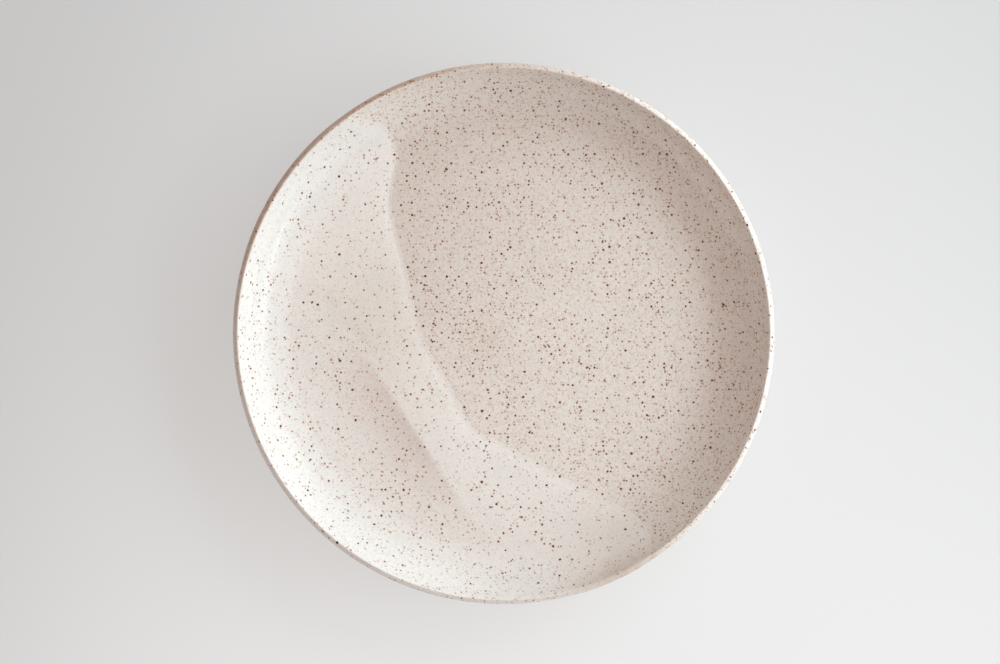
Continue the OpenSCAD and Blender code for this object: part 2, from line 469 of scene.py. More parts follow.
def glaze_material(name, plate, tone, second):
    """Glossy glaze that lets iron through, and breaks brown where it runs thin over the lip."""
    material, nodes = new_material(name)
    place, across = nodes.coordinates()
    radius = span(across, across.beside("Y"))
    rim = radius / (plate.sizes.plate_diameter / 2)
    lip = nodes.attribute("lip_break")
    cover = 1 + nodes.attribute("over_first") * 0.35 if second else 0.0
    grains, bleed = iron_grains(nodes, place, cover, lip)
    cloud = nodes.noise(place, GLAZE_CLOUD, detail=3.0)
    mottle = nodes.noise(place, GLAZE_MOTTLE, detail=3.0, roughness=0.65)
    turned = nodes.add("ShaderNodeCombineXYZ", {}, {"X": radius, "Y": across.beside("Z")})
    rings = nodes.noise(turned, GLAZE_RINGS, detail=2.0)
    uneven = (cloud - 0.5) * 0.10 + (mottle - 0.5) * 0.36 + (rings - 0.5) * 0.05
    shade = nodes.scaled(tone(nodes, across, rim, plate), 1 - uneven)
    ragged = nodes.noise(place, LIP_RAGGED, detail=3.0) - 0.5
    broken = (lip * 1.15 + ragged * lip * 1.5).clipped()
    ground = nodes.mix(broken, shade, plate.glaze.lip_colour)
    base = speckled(nodes, ground, grains, bleed, plate.clay)
    matt = (mottle - 0.5) * 0.04 + grains * 0.12 + broken * 0.12
    peel = nodes.noise(place, GLAZE_PEEL, detail=1.0)
    rise = 1 - radius.smooth(0.0, FLOOR_RISE)
    height = peel + rings * 0.4 + rise * 9 - grains * 0.9
    roughness = matt + plate.glaze.gloss_roughness
    finish_surface(nodes, base, roughness, height, GLAZE_RELIEF, IOR=GLAZE_IOR)
    return material


def clay_material(plate):
    """Bare stoneware: sandy, toasted, with iron grains and the lines of the turning tool."""
    material, nodes = new_material("bare stoneware")
    place, across = nodes.coordinates()
    grains, bleed = iron_grains(nodes, place, 0.0)
    sand = nodes.noise(place, CLAY_SAND, detail=3.0, roughness=0.65)
    toast = nodes.noise(place, CLAY_TOAST, detail=4.0)
    radius = span(across, across.beside("Y"))
    lines = (radius * (2 * math.pi / TOOL_PITCH) + toast * 9).sine()
    look = plate.clay
    ground = nodes.mix(toast.smooth(0.36, 0.68), look.clay_colour, look.toasted_colour)
    ground = nodes.mix(sand.smooth(0.45, 0.75) * 0.45, ground, look.toasted_colour)
    base = speckled(nodes, ground, grains, bleed, look)
    height = sand * 1.2 + lines * 0.22 - grains * 0.4
    finish_surface(nodes, base, 0.80 + sand * 0.15, height, CLAY_RELIEF, IOR=CLAY_IOR)
    return material


# The clay body, a lathe of geometry nodes

LATHE_SIZES = (
    "Plate Radius", "Plate Height", "Floor Thickness", "Lip Thickness", "Lip Edge Radius",
    "Lip Slope", "Face Wall Angle", "Outside Wall Angle", "Cove Radius", "Shoulder Radius",
    "Foot Outer Radius", "Foot Inner Radius", "Foot Height", "Foot Edge Radius",
    "Foot Root Radius",
)
# Points on each rounded corner of the section, and the gap that the turned body closes up
ARC_POINTS = 14
WELD_GAP = 0.001 * MM


def index_choice(nodes, data_type, values):
    """A field that gives each point of the section its own value."""
    index = nodes.add("GeometryNodeInputIndex")
    sockets = {0: index, **{number + 1: value for number, value in enumerate(values)}}
    settings = {"data_type": data_type, "items": len(values)}
    return nodes.add("GeometryNodeIndexSwitch", settings, sockets)


def lathe_tree():
    """A tree that rounds off the section's corners and turns it about the plate's axis."""
    tree = bpy.data.node_groups.new("turned clay body", "GeometryNodeTree")
    for name in LATHE_SIZES:
        tree.interface.new_socket(name, in_out="INPUT", socket_type="NodeSocketFloat")
    for name in ("Segments", "Arc Points"):
        tree.interface.new_socket(name, in_out="INPUT", socket_type="NodeSocketInt")
    tree.interface.new_socket("Clay", in_out="INPUT", socket_type="NodeSocketMaterial")
    tree.interface.new_socket("Geometry", in_out="OUTPUT", socket_type="NodeSocketGeometry")
    nodes = Nodes(tree)
    given = nodes.add("NodeGroupInput")
    size = {name: given.beside(name) for name in LATHE_SIZES}

    lean, narrow = size["Lip Slope"], size["Lip Edge Radius"]
    level = size["Lip Thickness"] - narrow * (lean.sine() + size["Face Wall Angle"].sine())
    wide = level / (1 - lean.sine())
    wide_r = size["Plate Radius"] - wide
    crest_r = wide_r + (wide - narrow) * lean.sine()
    crest_z = size["Plate Height"] - narrow
    wide_z = crest_z - (wide - narrow) * lean.cosine()
    under = size["Foot Height"]
    floor = under + size["Floor Thickness"]

    def wall(slope, arc_r, arc_z, reach):
        """A wall's line, which touches an arc of the lip: radius at a height, and top corner."""
        touch_r = arc_r + slope.sine() * reach
        touch_z = arc_z - slope.cosine() * reach
        run, fall = slope.cosine() / slope.sine(), lean.sine() / lean.cosine()
        meet_r = crest_r + lean.sine() * narrow
        meet_z = crest_z + lean.cosine() * narrow
        top_r = (touch_r + (meet_z + meet_r * fall - touch_z) * run) / (1 + fall * run)
        top_z = meet_z - (top_r - meet_r) * fall
        return lambda height: touch_r + (height - touch_z) * run, (top_r, top_z)

    face, face_top = wall(size["Face Wall Angle"], crest_r, crest_z, narrow * -1)
    outside, outside_top = wall(size["Outside Wall Angle"], wide_r, wide_z, wide)
    outer, inner = size["Foot Outer Radius"], size["Foot Inner Radius"]
    edge, root = size["Foot Edge Radius"], size["Foot Root Radius"]
    corners = (
        (0.0, floor, 0.0), (face(floor), floor, size["Cove Radius"]), (*face_top, narrow),
        (*outside_top, wide), (outside(under), under, size["Shoulder Radius"]),
        (outer, under, root), (outer, 0.0, edge), (inner, 0.0, edge), (inner, under, root),
        (0.0, under, 0.0),
    )
    places = [nodes.add("ShaderNodeCombineXYZ", {}, {"X": r, "Z": z}) for r, z, _ in corners]
    line = nodes.add("GeometryNodeMeshLine", {}, {"Count": len(corners)})
    line = nodes.add("GeometryNodeMeshToCurve", {}, {"Mesh": line})
    line = nodes.add(
        "GeometryNodeSetPosition", {},
        {"Geometry": line, "Position": index_choice(nodes, "VECTOR", places)},
    )
    radii = index_choice(nodes, "FLOAT", [radius for _, _, radius in corners])
    section = nodes.add(
        "GeometryNodeFilletCurve", {"mode": "POLY"},
        {"Curve": line, "Count": given.beside("Arc Points"), "Radius": radii},
    )
    points = nodes.add(
        "GeometryNodeAttributeDomainSize", {"component": "CURVE"}, {"Geometry": section},
    )
    columns = given.beside("Segments") + 1
    sheet = nodes.add(
        "GeometryNodeMeshGrid", {},
        {"Size X": 1.0, "Size Y": 1.0, "Vertices X": points, "Vertices Y": columns},
    )
    place = nodes.add("GeometryNodeInputPosition")
    share = nodes.add("ShaderNodeSeparateXYZ", {}, {"Vector": place})
    number = ((share + 0.5) * (points - 1)).rounded()
    turn = (share.beside("Y") + 0.5) * (2 * math.pi)
    sample = nodes.add(
        "GeometryNodeSampleIndex", {"data_type": "FLOAT_VECTOR", "domain": "POINT"},
        {"Geometry": section, "Value": place, "Index": number},
    )
    at = nodes.add("ShaderNodeSeparateXYZ", {}, {"Vector": sample})
    turned = nodes.add(
        "ShaderNodeCombineXYZ", {},
        {"X": at * turn.cosine(), "Y": at * turn.sine(), "Z": at.beside("Z")},
    )
    body = nodes.add("GeometryNodeSetPosition", {}, {"Geometry": sheet, "Position": turned})
    body = nodes.add("GeometryNodeMergeByDistance", {}, {"Geometry": body, "Distance": WELD_GAP})
    body = nodes.add("GeometryNodeSetShadeSmooth", {}, {"Geometry": body})
    body = nodes.add("GeometryNodeRealizeInstances", {}, {"Geometry": body})
    body = nodes.add(
        "GeometryNodeSetMaterial", {}, {"Geometry": body, "Material": given.beside("Clay")},
    )
    nodes.add("NodeGroupOutput", {}, {"Geometry": body})
    return tree


def foot_radii(sizes):
    """Outer and inner radius of the foot ring."""
    middle = sizes.plate_diameter / 2 - sizes.foot_inset
    return middle + sizes.foot_width / 2, middle - sizes.foot_width / 2


def turn_clay_body(plate):
    """The clay body as a plain mesh."""
    sizes = plate.sizes
    foot_outer, foot_inner = foot_radii(sizes)
    values = (
        sizes.plate_diameter / 2, sizes.plate_height, sizes.floor_thickness, sizes.lip_thickness,
        sizes.lip_edge_radius, sizes.lip_slope, sizes.face_wall_angle, sizes.outside_wall_angle,
        sizes.cove_radius, sizes.shoulder_radius,
        foot_outer, foot_inner, sizes.foot_height, sizes.foot_edge_radius, sizes.foot_root_radius,
    )
    given = dict(zip(LATHE_SIZES, values))
    given["Segments"], given["Arc Points"] = sizes.segments, ARC_POINTS
    given["Clay"] = clay_material(plate)
    body = bpy.data.objects.new("clay_body", bpy.data.meshes.new("clay_body"))
    bpy.context.scene.collection.objects.link(body)
    lathe = body.modifiers.new("Lathe", "NODES")
    lathe.node_group = lathe_tree()
    for item in lathe.node_group.interface.items_tree:
        if item.in_out == "INPUT":
            lathe[item.identifier] = given[item.name]
    turned = body.evaluated_get(bpy.context.evaluated_depsgraph_get())
    body.data = bpy.data.meshes.new_from_object(turned)
    body.modifiers.clear()
    return body


# The glaze coats, closed shells that follow the section

# Largest turn between two rows on each arc of the section, and the widest gap on the flats
COVE_TURN, CREST_TURN, FALL_TURN, SHOULDER_TURN = (math.radians(a) for a in (2.6, 10, 6, 3))
FLAT_GAP = 2 * MM
# Rows beside the bare clay of the foot ring, as shares of the rolled edge's width
CLOSE_ROW_SHARES = (0, 0.08, 0.28, 0.6, 1.0, 1.7, 2.8)
# How much a rolled edge swells, and the share of a coat's height in its small round edge
ROLL_SWELL = 0.12
ROUND_SHARE = 0.22


def arc(centre, radius, start, stop, step):
    """Points of an arc in the section, and the directions away from its centre."""
    turns = np.linspace(start, stop, 1 + math.ceil(abs(stop - start) / step))
    away = np.stack([np.cos(turns), np.sin(turns)], 1)
    return np.array(centre) + radius * away, away


def section_lines(sizes):
    """The clay's section as two runs of places and normals: face with lip, and outside."""
    lean, narrow = sizes.lip_slope, sizes.lip_edge_radius
    level = sizes.lip_thickness - narrow * (math.sin(lean) + math.sin(sizes.face_wall_angle))
    wide = level / (1 - math.sin(lean))
    away = np.array([math.sin(lean), math.cos(lean)])
    wide_centre = np.array([sizes.plate_diameter / 2 - wide, 0.0])
    narrow_centre = wide_centre + (wide - narrow) * away
    rise = np.array([0.0, sizes.plate_height - narrow - narrow_centre[1]])
    wide_centre, narrow_centre = wide_centre + rise, narrow_centre + rise
    under = sizes.foot_height
    floor = under + sizes.floor_thickness
    quarter = math.pi / 2

    def arc_centre(slope, lip_centre, reach, radius, base):
        across = np.array([math.sin(slope), -math.cos(slope)])
        touch = lip_centre + reach * across
        run = (touch[1] + radius * math.cos(slope) - base - radius) / math.sin(slope)
        along = np.array([math.cos(slope), math.sin(slope)])
        return touch - run * along - radius * across

    face_slope, outside_slope = sizes.face_wall_angle, sizes.outside_wall_angle
    cove_centre = arc_centre(face_slope, narrow_centre, -narrow, sizes.cove_radius, floor)
    shoulder_centre = arc_centre(outside_slope, wide_centre, wide, sizes.shoulder_radius, under)
    cove, cove_away = arc(
        cove_centre, sizes.cove_radius, -quarter, face_slope - quarter, COVE_TURN,
    )
    crest = arc(narrow_centre, narrow, quarter + face_slope, quarter - lean, CREST_TURN)
    fall = arc(wide_centre, wide, quarter - lean, outside_slope - quarter, FALL_TURN)
    rim, rim_away = (np.concatenate([a, b[1:]]) for a, b in zip(crest, fall))
    shoulder, shoulder_away = arc(
        shoulder_centre, sizes.shoulder_radius, outside_slope - quarter, -quarter, SHOULDER_TURN,
    )
    flat = np.linspace(0, cove[0, 0], math.ceil(cove[0, 0] / FLAT_GAP))[:-1]
    level = np.stack([flat, np.full_like(flat, floor)], 1)
    up = np.tile([0.0, 1.0], (len(flat), 1))
    split = (rim[-1] + shoulder[0]) / 2
    face = (
        np.concatenate([level, cove, rim, [split]]),
        np.concatenate([up, -cove_away, rim_away, rim_away[-1:]]),
    )
    outside = (
        np.concatenate([[split], shoulder]),
        np.concatenate([rim_away[-1:], shoulder_away]),
    )
    return face, outside


class Sheet:
    """A run of the section, turned about the axis and unrolled flat as triangles to cut."""

    POINT_GAP = 0.9 * MM
    SNAP = 0.03 * MM

    def __init__(self, places, normals, segments):
        """Rows run outwards. The first row may be the axis itself."""
        steps = np.hypot(*np.diff(places, axis=0).T)
        self.along = places[0, 0] + np.concatenate([[0], np.cumsum(steps)])
        self.places, self.normals = places, normals
        rings, triangles, first = [], [], 0
        for radius in self.along:
            count = 1 if radius == 0 else segments
            while count % 2 == 0 and 2 * math.pi * radius / count < self.POINT_GAP:
                count //= 2
            turns = np.arange(count) * 2 * math.pi / count
            rings.append(radius * np.stack([np.cos(turns), np.sin(turns)], 1))
        for inner, outer in zip(rings, rings[1:]):
            triangles += self.stitch(first, len(inner), first + len(inner), len(outer))
            first += len(inner)
        self.flat = np.concatenate(rings)
        self.triangles = np.array(triangles)
        self.fields = {}

    @staticmethod
    def stitch(a, inner, b, outer):
        """Triangles between two rings, where the outer has as many points, or twice as many."""
        if inner == 1:
            return [(a, b + i, b + (i + 1) % outer) for i in range(outer)]
        made = []
        for i in range(inner):
            here, after = a + i, a + (i + 1) % inner
            if inner == outer:
                made += [(here, b + i, b + (i + 1) % outer), (here, b + (i + 1) % outer, after)]
            else:
                low, mid, high = b + 2 * i, b + 2 * i + 1, b + (2 * i + 2) % outer
                made += [(here, low, mid), (here, mid, after), (after, mid, high)]
        return made

    def radius(self):
        """Distance of each point along the section, from the axis."""
        return np.hypot(*self.flat.T)

    def turned(self):
        """Each point's place on the clay, and the clay's normal there."""
        along = self.radius()
        way = self.flat / np.maximum(along, 1e-9)[:, None]
        r, z = (np.interp(along, self.along, self.places[:, k]) for k in (0, 1))
        out, up = (np.interp(along, self.along, self.normals[:, k]) for k in (0, 1))
        size = np.hypot(out, up)
        place = np.column_stack([way * r[:, None], z])
        return place, np.column_stack([way * (out / size)[:, None], up / size])

    def cut(self, name, level):
        """Splits the triangles that a field's level line crosses. Tells which points lie on it."""
        off = self.fields[name] - level
        off[np.abs(off) < self.SNAP] = 0
        sides = np.sign(off)[self.triangles]
        crossed = (sides.min(1) < 0) & (sides.max(1) > 0)
        added, made = {}, []

        def between(i, j):
            key = (min(i, j), max(i, j))
            return added.setdefault(key, len(self.flat) + len(added))

        for corners, side in zip(self.triangles[crossed], sides[crossed]):
            touches = 0 in side
            lone = side == 0 if touches else side == -np.sign(side.sum())
            a, b, c = np.roll(corners, -int(np.argmax(lone)))
            if touches:
                m = between(b, c)
                made += [(a, b, m), (a, m, c)]
            else:
                m, n = between(a, b), between(c, a)
                made += [(a, m, n), (m, b, c), (m, c, n)]
        if added:
            i, j = np.array(list(added)).T
            t = off[i] / (off[i] - off[j])
            middles = self.flat[i] + t[:, None] * (self.flat[j] - self.flat[i])
            self.flat = np.concatenate([self.flat, middles])
            for key, values in self.fields.items():
                middles = values[i] + t * (values[j] - values[i])
                self.fields[key] = np.concatenate([values, middles])
            self.triangles = np.concatenate([self.triangles[~crossed], made])
        on_line = np.concatenate([off == 0, np.ones(len(added), bool)])
        self.fields[name][on_line] = level
        return on_line

    def keep(self, name):
        """Drops the triangles where a field is below zero."""
        self.triangles = self.triangles[self.fields[name][self.triangles].sum(1) > 0]


def smooth_line(shares, radius):
    """A smooth line through the points of a dip's edge."""
    points = np.array(shares) * radius
    ends = np.concatenate([points[:1], points, points[-1:]])
    line = []
    for a, b, c, d in zip(ends, ends[1:], ends[2:], ends[3:]):
        leave, reach = (c - a) / 2, (d - b) / 2
        for t in np.arange(EDGE_STEPS) / EDGE_STEPS:
            bend = (3 * (c - b) - 2 * leave - reach) * t ** 2
            line.append(b + leave * t + bend + (leave + reach - 2 * (c - b)) * t ** 3)
    return np.array(line + [points[-1]])


def depth_inside(plan, shares, far_shares, radius):
    """How far inside a dip's area each place in plan lies, below zero outside it."""
    line = smooth_line(shares, radius)
    nearest = np.full(len(plan), np.inf)
    for start, step in zip(line, np.diff(line, axis=0)):
        t = np.clip((plan - start) @ step / (step @ step), 0, 1)
        nearest = np.minimum(nearest, np.hypot(*(plan - start - t[:, None] * step).T))
    area = np.concatenate([line, np.array(far_shares) * radius])
    inside = np.zeros(len(plan), bool)
    for (ax, ay), (bx, by) in zip(area, np.roll(area, -1, axis=0)):
        spans = (ay > plan[:, 1]) != (by > plan[:, 1])
        if ay != by:
            inside ^= spans & (plan[:, 0] < (bx - ax) * (plan[:, 1] - ay) / (by - ay) + ax)
    return np.where(inside, nearest, -nearest)


def soft_step(values, low, high):
    """0 at low, 1 at high, and a soft step between them."""
    t = np.clip((values - low) / (high - low), 0, 1)
    return t * t * (3 - 2 * t)


def quarter_round(depth, width):
    """The height of a round edge, by the distance from where it starts."""
    t = np.clip(depth / width, 0, 1)
    return np.sqrt(np.maximum(0, 1 - (1 - t) ** 2))


def rolled(depth, width):
    """The height of a coat beside bare clay: a quarter round that swells a little."""
    swell = np.exp(-((depth / width - 1.6) / 1.3) ** 2)
    return quarter_round(depth, width) * (1 + ROLL_SWELL * swell)


def built_up(depth, edge, run):
    """The height of a coat behind its dip line: a small round edge, then a long gentle rise."""
    rise = soft_step(depth, 0, run)
    return ROUND_SHARE * quarter_round(depth, edge) + (1 - ROUND_SHARE) * rise


def waver(place, size, seed):
    """Slow unevenness from -1 to 1."""
    shift = Vector((seed * 7.3, seed * 3.1, seed * 5.7))
    return np.array([noise.noise(Vector(p) / size + shift) for p in place])


class Coats:
    """The two coats on one run of the section: face with lip, outside, or recess in the foot."""

    # Rows of points behind the second coat's edge, and the width over which that edge is thin
    EDGE_ROWS = (0.12 * MM, 0.35 * MM, 0.65 * MM, 1.3 * MM, 2.4 * MM, 4 * MM, 6 * MM)
    EDGE_THIN = 2.6 * MM
    # The lip's crest, and where a break in its glaze fades out down the outside
    CREST = 0.4 * MM
    BREAK_END = (2.6 * MM, 7 * MM)
    # How far thin glaze reaches down the face from the lip, and the share that has run off there
    THIN_LIP = 1.4 * MM
    RUN_OFF = 0.45
    # Size and share of the slow unevenness, and the mean share of each coat's full thickness
    UNEVEN_SIZE = 34 * MM
    UNEVEN = 0.06
    FIRST_MEAN = 0.94
    SECOND_MEAN = 0.92
    # The groove: where it starts and is full, beside the buried edge, and how far it fades out
    GROOVE_START = (-3 * MM, 2 * MM)
    GROOVE_FADE = 33 * MM
    # Half width of the soft border over the buried edge, its widening at the left rim, and where
    # across the plate that comes in, as shares of its radius
    BORDER = 2.75 * MM
    BORDER_MORE = 11 * MM
    BORDER_LEFT_SHARES = (-0.60, -0.90)

    def __init__(self, plate, places, normals, closes, lip_along=None):
        """closes tells which ends of the run are edges of the glaze, as (inner, outer)."""
        self.plate, self.places, self.normals = plate, places, normals
        self.closes, self.lip_along = closes, lip_along
        self.radius = plate.sizes.plate_diameter / 2

    def unrolled(self):
        """The run as a sheet, with how far inside each dip its points lie."""
        sheet = Sheet(self.places, self.normals, self.plate.sizes.segments)
        plan = sheet.turned()[0][:, :2]
        sheet.fields["first"] = depth_inside(
            plan, FIRST_EDGE_SHARES, FIRST_FAR_SHARES, self.radius,
        )
        sheet.fields["second"] = self.plate.glaze.creep + depth_inside(
            plan, SECOND_EDGE_SHARES, SECOND_FAR_SHARES, self.radius,
        )
        return sheet

    def end_roll(self, sheet):
        """Height share that rolls down to the clay at the run's own glaze edges."""
        along, width = sheet.radius(), self.plate.glaze.roll_width
        share = np.ones(len(along))
        if self.closes[0]:
            share = np.minimum(share, rolled(along - sheet.along[0], width))
        if self.closes[1]:
            share = np.minimum(share, rolled(sheet.along[-1] - along, width))
        return share

    def lip_nearness(self, sheet, reach):
        """1 at the lip's crest, falling off down the outside, and over a reach down the face."""
        if self.lip_along is None:
            return np.zeros(len(sheet.flat))
        past = self.past_crest(sheet)
        return soft_step(past, -reach, self.CREST) * (1 - soft_step(past, *self.BREAK_END))

    def past_crest(self, sheet):
        """Distance from the lip's crest, outwards and down the outside."""
        return sheet.radius() - self.lip_along

    def lip_break(self, sheet):
        """How far the glaze has run off the lip."""
        turn = np.arctan2(sheet.flat[:, 1], sheet.flat[:, 0])
        total = 0
        for way, bound, reach, thin in LIP_BREAKS:
            towards = (1 + np.cos(turn - math.radians(way))) / 2
            total = total + thin * self.lip_nearness(sheet, reach) * towards ** bound
        return total

    def groove(self, sheet, place):
        """Where the second coat lies thin beside the buried edge, most at the edge's middle."""
        outside = -sheet.fields["first"]
        fade = np.clip(1 - (outside - self.GROOVE_START[1]) / self.GROOVE_FADE, 0, 1)
        near = soft_step(outside, *self.GROOVE_START) * fade
        return near * self.patch(place, GROOVE_SHARE, GROOVE_REACH)

    def patch(self, place, share, reach):
        """A round patch that fades out, 1 at its middle."""
        away = np.hypot(*(place[:, :2] - np.array(share) * self.radius).T) / (reach * self.radius)
        return np.exp(-away ** 2)

    def lean(self, place):
        """How lean the second coat lies over the first."""
        return sum(lean * self.patch(place, share, reach) for lean, share, reach in LEAN_PATCHES)

    def over_first(self, sheet, place):
        """1 over the first coat and 0 beside it, with a soft border, wider at the left rim."""
        left = soft_step(place[:, 0] / self.radius, *self.BORDER_LEFT_SHARES)
        border = self.BORDER + self.BORDER_MORE * left
        return soft_step(sheet.fields["first"] / border, -0.95, 1.05)

    def looks(self, sheet, place, second):
        """What the coat's material reads at each point."""
        looks = {"lip_break": self.lip_break(sheet)}
        if second:
            looks["over_first"] = self.over_first(sheet, place)
            looks["edge_thin"] = 1 - soft_step(sheet.fields["second"], 0, self.EDGE_THIN)
            looks["groove"] = self.groove(sheet, place)
            looks["lean"] = self.lean(place)
        return looks

    def heights(self, sheet, place):
        """Top of the first coat, and of the second, above the clay."""
        glaze = self.plate.glaze
        first, second = sheet.fields["first"], sheet.fields["second"]
        run = self.end_roll(sheet) * (1 - self.RUN_OFF * self.lip_nearness(sheet, self.THIN_LIP))
        uneven = self.UNEVEN * waver(place, self.UNEVEN_SIZE, 1)
        drape = soft_step(first, 0, glaze.drape_width)
        low = glaze.first_coat * drape * run * (self.FIRST_MEAN + uneven)
        build = built_up(second, glaze.edge_round, glaze.edge_run)
        thick = glaze.second_coat * build * run * (self.SECOND_MEAN - uneven)
        return low, low + thick

    def coat(self, second):
        """One coat's sheet, with each point's place, the clay's normal, and bottom and top."""
        sheet = self.unrolled()
        name = "second" if second else "first"
        edge = sheet.cut(name, 0.0)
        sheet.keep(name)
        if second:
            for row in self.EDGE_ROWS:
                sheet.cut("second", row)
        place, normal = sheet.turned()
        low, high = self.heights(sheet, place)
        bottom, top = (low, high) if second else (np.zeros_like(low), low)
        edge = np.concatenate([edge, np.zeros(len(top) - len(edge), bool)])
        top = np.where(edge, bottom, top)
        return sheet, place, normal, bottom, top


def thickened(name, coats, second, downwards):
    """A coat as a closed shell: its top, its bottom, and a wall where it is cut off."""
    sheet, place, normal, bottom, top = coats.coat(second)
    looks = coats.looks(sheet, place, second)
    solid = (top > bottom)[sheet.triangles].any(1)
    used, index = np.unique(sheet.triangles[solid], return_inverse=True)
    triangles = index.reshape(-1, 3)
    if downwards:
        triangles = triangles[:, ::-1]
    place, normal, low, high = place[used], normal[used], bottom[used], top[used]
    upper = place + normal * high[:, None]
    thin = high <= low
    lower_index = np.where(thin, np.arange(len(used)), len(used) + np.cumsum(~thin) - 1)
    lower = (place + normal * low[:, None])[~thin]
    edges = np.concatenate([triangles[:, [0, 1]], triangles[:, [1, 2]], triangles[:, [2, 0]]])
    held = {tuple(edge) for edge in edges.tolist()}
    rim = [(a, b) for a, b in held if (b, a) not in held]
    walls, seams = [], set()
    for a, b in rim:
        c, d = int(lower_index[a]), int(lower_index[b])
        seams |= {(min(a, b), max(a, b)), (min(c, d), max(c, d))}
        if d != b:
            walls.append((b, a, d))
        if c != a:
            walls.append((a, c, d))
    faces = [triangles, lower_index[triangles][:, ::-1]] + ([walls] if walls else [])
    faces = np.concatenate(faces)
    mesh = bpy.data.meshes.new(name)
    mesh.from_pydata(np.concatenate([upper, lower]).tolist(), [], faces.tolist())
    mark_seams(mesh, seams)
    both = np.concatenate([used, used[~thin]])
    lay_out(mesh, sheet.flat[both], len(triangles))
    for look, values in looks.items():
        store(mesh, look, values[both])
    piece = bpy.data.objects.new(name, mesh)
    bpy.context.scene.collection.objects.link(piece)
    return piece


def mark_seams(mesh, seams):
    """Smooth faces, with sharp edges where top, wall and bottom meet."""
    mesh.polygons.foreach_set("use_smooth", np.ones(len(mesh.polygons), bool))
    ends = np.empty(2 * len(mesh.edges), np.int64)
    mesh.edges.foreach_get("vertices", ends)
    ends = np.sort(ends.reshape(-1, 2), axis=1)
    count = len(mesh.vertices)
    sharp = np.isin(ends[:, 0] * count + ends[:, 1], [a * count + b for a, b in seams])
    mesh.edges.foreach_set("use_edge_sharp", sharp)
    mesh.update()


def lay_out(mesh, flat, top_faces):
    """Lays the unrolled top out over the map, with the hidden bottom small in a corner."""
    reach = np.abs(flat).max()
    wide = 0.5 + flat / reach * 0.495
    small = 0.075 + flat / reach * 0.07
    corners = np.empty(len(mesh.loops), np.int64)
    mesh.loops.foreach_get("vertex_index", corners)
    on_top = np.arange(len(corners)) < 3 * top_faces
    layer = mesh.uv_layers.new(name="OFBake")
    spots = np.where(on_top[:, None], wide[corners], small[corners])
    layer.uv.foreach_set("vector", spots.ravel())


def store(mesh, name, values):
    """Keeps a value at each vertex for the material."""
    layer = mesh.attributes.new(name, "FLOAT", "POINT")
    layer.data.foreach_set("value", values.astype(np.float32))


def coat_runs(plate):
    """The runs of the section that wear glaze: face with lip, outside, and the recess."""
    sizes, glaze = plate.sizes, plate.glaze
    (face, face_normals), (outside, outside_normals) = section_lines(sizes)
    foot_outer, foot_inner = foot_radii(sizes)
    margin = sizes.foot_root_radius + glaze.bare_margin
    close_rows = np.array(CLOSE_ROW_SHARES) * glaze.roll_width
    start = foot_outer + margin + close_rows
    middle = np.linspace(start[-1], outside[-1, 0], 5)[1:-1]
    radii = np.concatenate([start, middle])
    under = np.column_stack([radii, np.full(len(radii), sizes.foot_height)])
    outside = np.concatenate([under, outside[::-1]])
    down = np.tile([0.0, -1.0], (len(radii), 1))
    outside_normals = np.concatenate([down, outside_normals[::-1]])
    recess_radius = foot_inner - margin
    count = math.ceil(recess_radius / FLAT_GAP)
    inward = np.linspace(0, recess_radius - close_rows[-1], count)[:-1]
    radii = np.concatenate([inward, recess_radius - close_rows[::-1]])
    recess = np.column_stack([radii, np.full(len(radii), sizes.foot_height)])
    recess_normals = np.tile([0.0, -1.0], (len(radii), 1))
    steps = np.hypot(*np.diff(face, axis=0).T)
    lip_along = np.concatenate([[0], np.cumsum(steps)])[np.argmax(face[:, 1])]
    outside_steps = np.hypot(*np.diff(outside, axis=0).T)
    beyond = outside[0, 0] + outside_steps.sum() + (np.cumsum(steps)[-1] - lip_along)
    return {
        "face": Coats(plate, face, face_normals, (False, False), lip_along),
        "outside": OutsideCoats(plate, outside, outside_normals, (True, False), beyond),
        "recess": Coats(plate, recess, recess_normals, (False, True)),
    }


class OutsideCoats(Coats):
    """The coats on the outside, whose rows climb towards the lip from below."""

    def past_crest(self, sheet):
        return self.lip_along - sheet.radius()


def add_coats(plate, prefix, material, second, nodes):
    """The pieces of one dip, each riding on the plate and standing for its solid."""
    slot = f"{prefix}_glaze"
    for run, coats in coat_runs(plate).items():
        piece = thickened(f"{slot}_{run}", coats, second, run != "face")
        piece.data.materials.append(material)
        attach(piece, "root")
        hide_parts(nodes[run])


# Operators


class PlateOperator(bpy.types.Operator):
    """Part of the plate."""

    bl_options = {"REGISTER", "UNDO"}


class COUPE_OT_clay_body(PlateOperator):
    """Turns the clay body: floor, cove, wall, lip and foot ring"""

    bl_idname = "coupe.clay_body"
    bl_label = "Clay body"

    def execute(self, context):
        body = turn_clay_body(context.scene.coupe_plate)
        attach(body, "root")
        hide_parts("stoneware_body")
        return {"FINISHED"}


class COUPE_OT_first_glaze(PlateOperator):
    """Lays the first glaze coat over the upper right of the plate"""

    bl_idname = "coupe.first_glaze"
    bl_label = "First glaze coat"

    def execute(self, context):
        plate = context.scene.coupe_plate
        material = glaze_material("first glaze", plate, first_coat_tone, False)
        nodes = {
            "face": "first_glaze_coat", "outside": "first_glaze_coat",
            "recess": "first_recess_glaze",
        }
        add_coats(plate, "first", material, False, nodes)
        return {"FINISHED"}


class COUPE_OT_second_glaze(PlateOperator):
    """Lays the second glaze coat over the lower left, and over the first coat's edge"""

    bl_idname = "coupe.second_glaze"
    bl_label = "Second glaze coat"

    def execute(self, context):
        plate = context.scene.coupe_plate
        material = glaze_material("second glaze", plate, second_coat_tone, True)
        nodes = {
            "face": "second_glaze_coat", "outside": "second_glaze_coat",
            "recess": "second_recess_glaze",
        }
        add_coats(plate, "second", material, True, nodes)
        return {"FINISHED"}


# Stage

FLOOR_RADIUS = 6.0
FLOOR_GRAIN = 0.9 * MM
FLOOR_RELIEF = 0.01 * MM
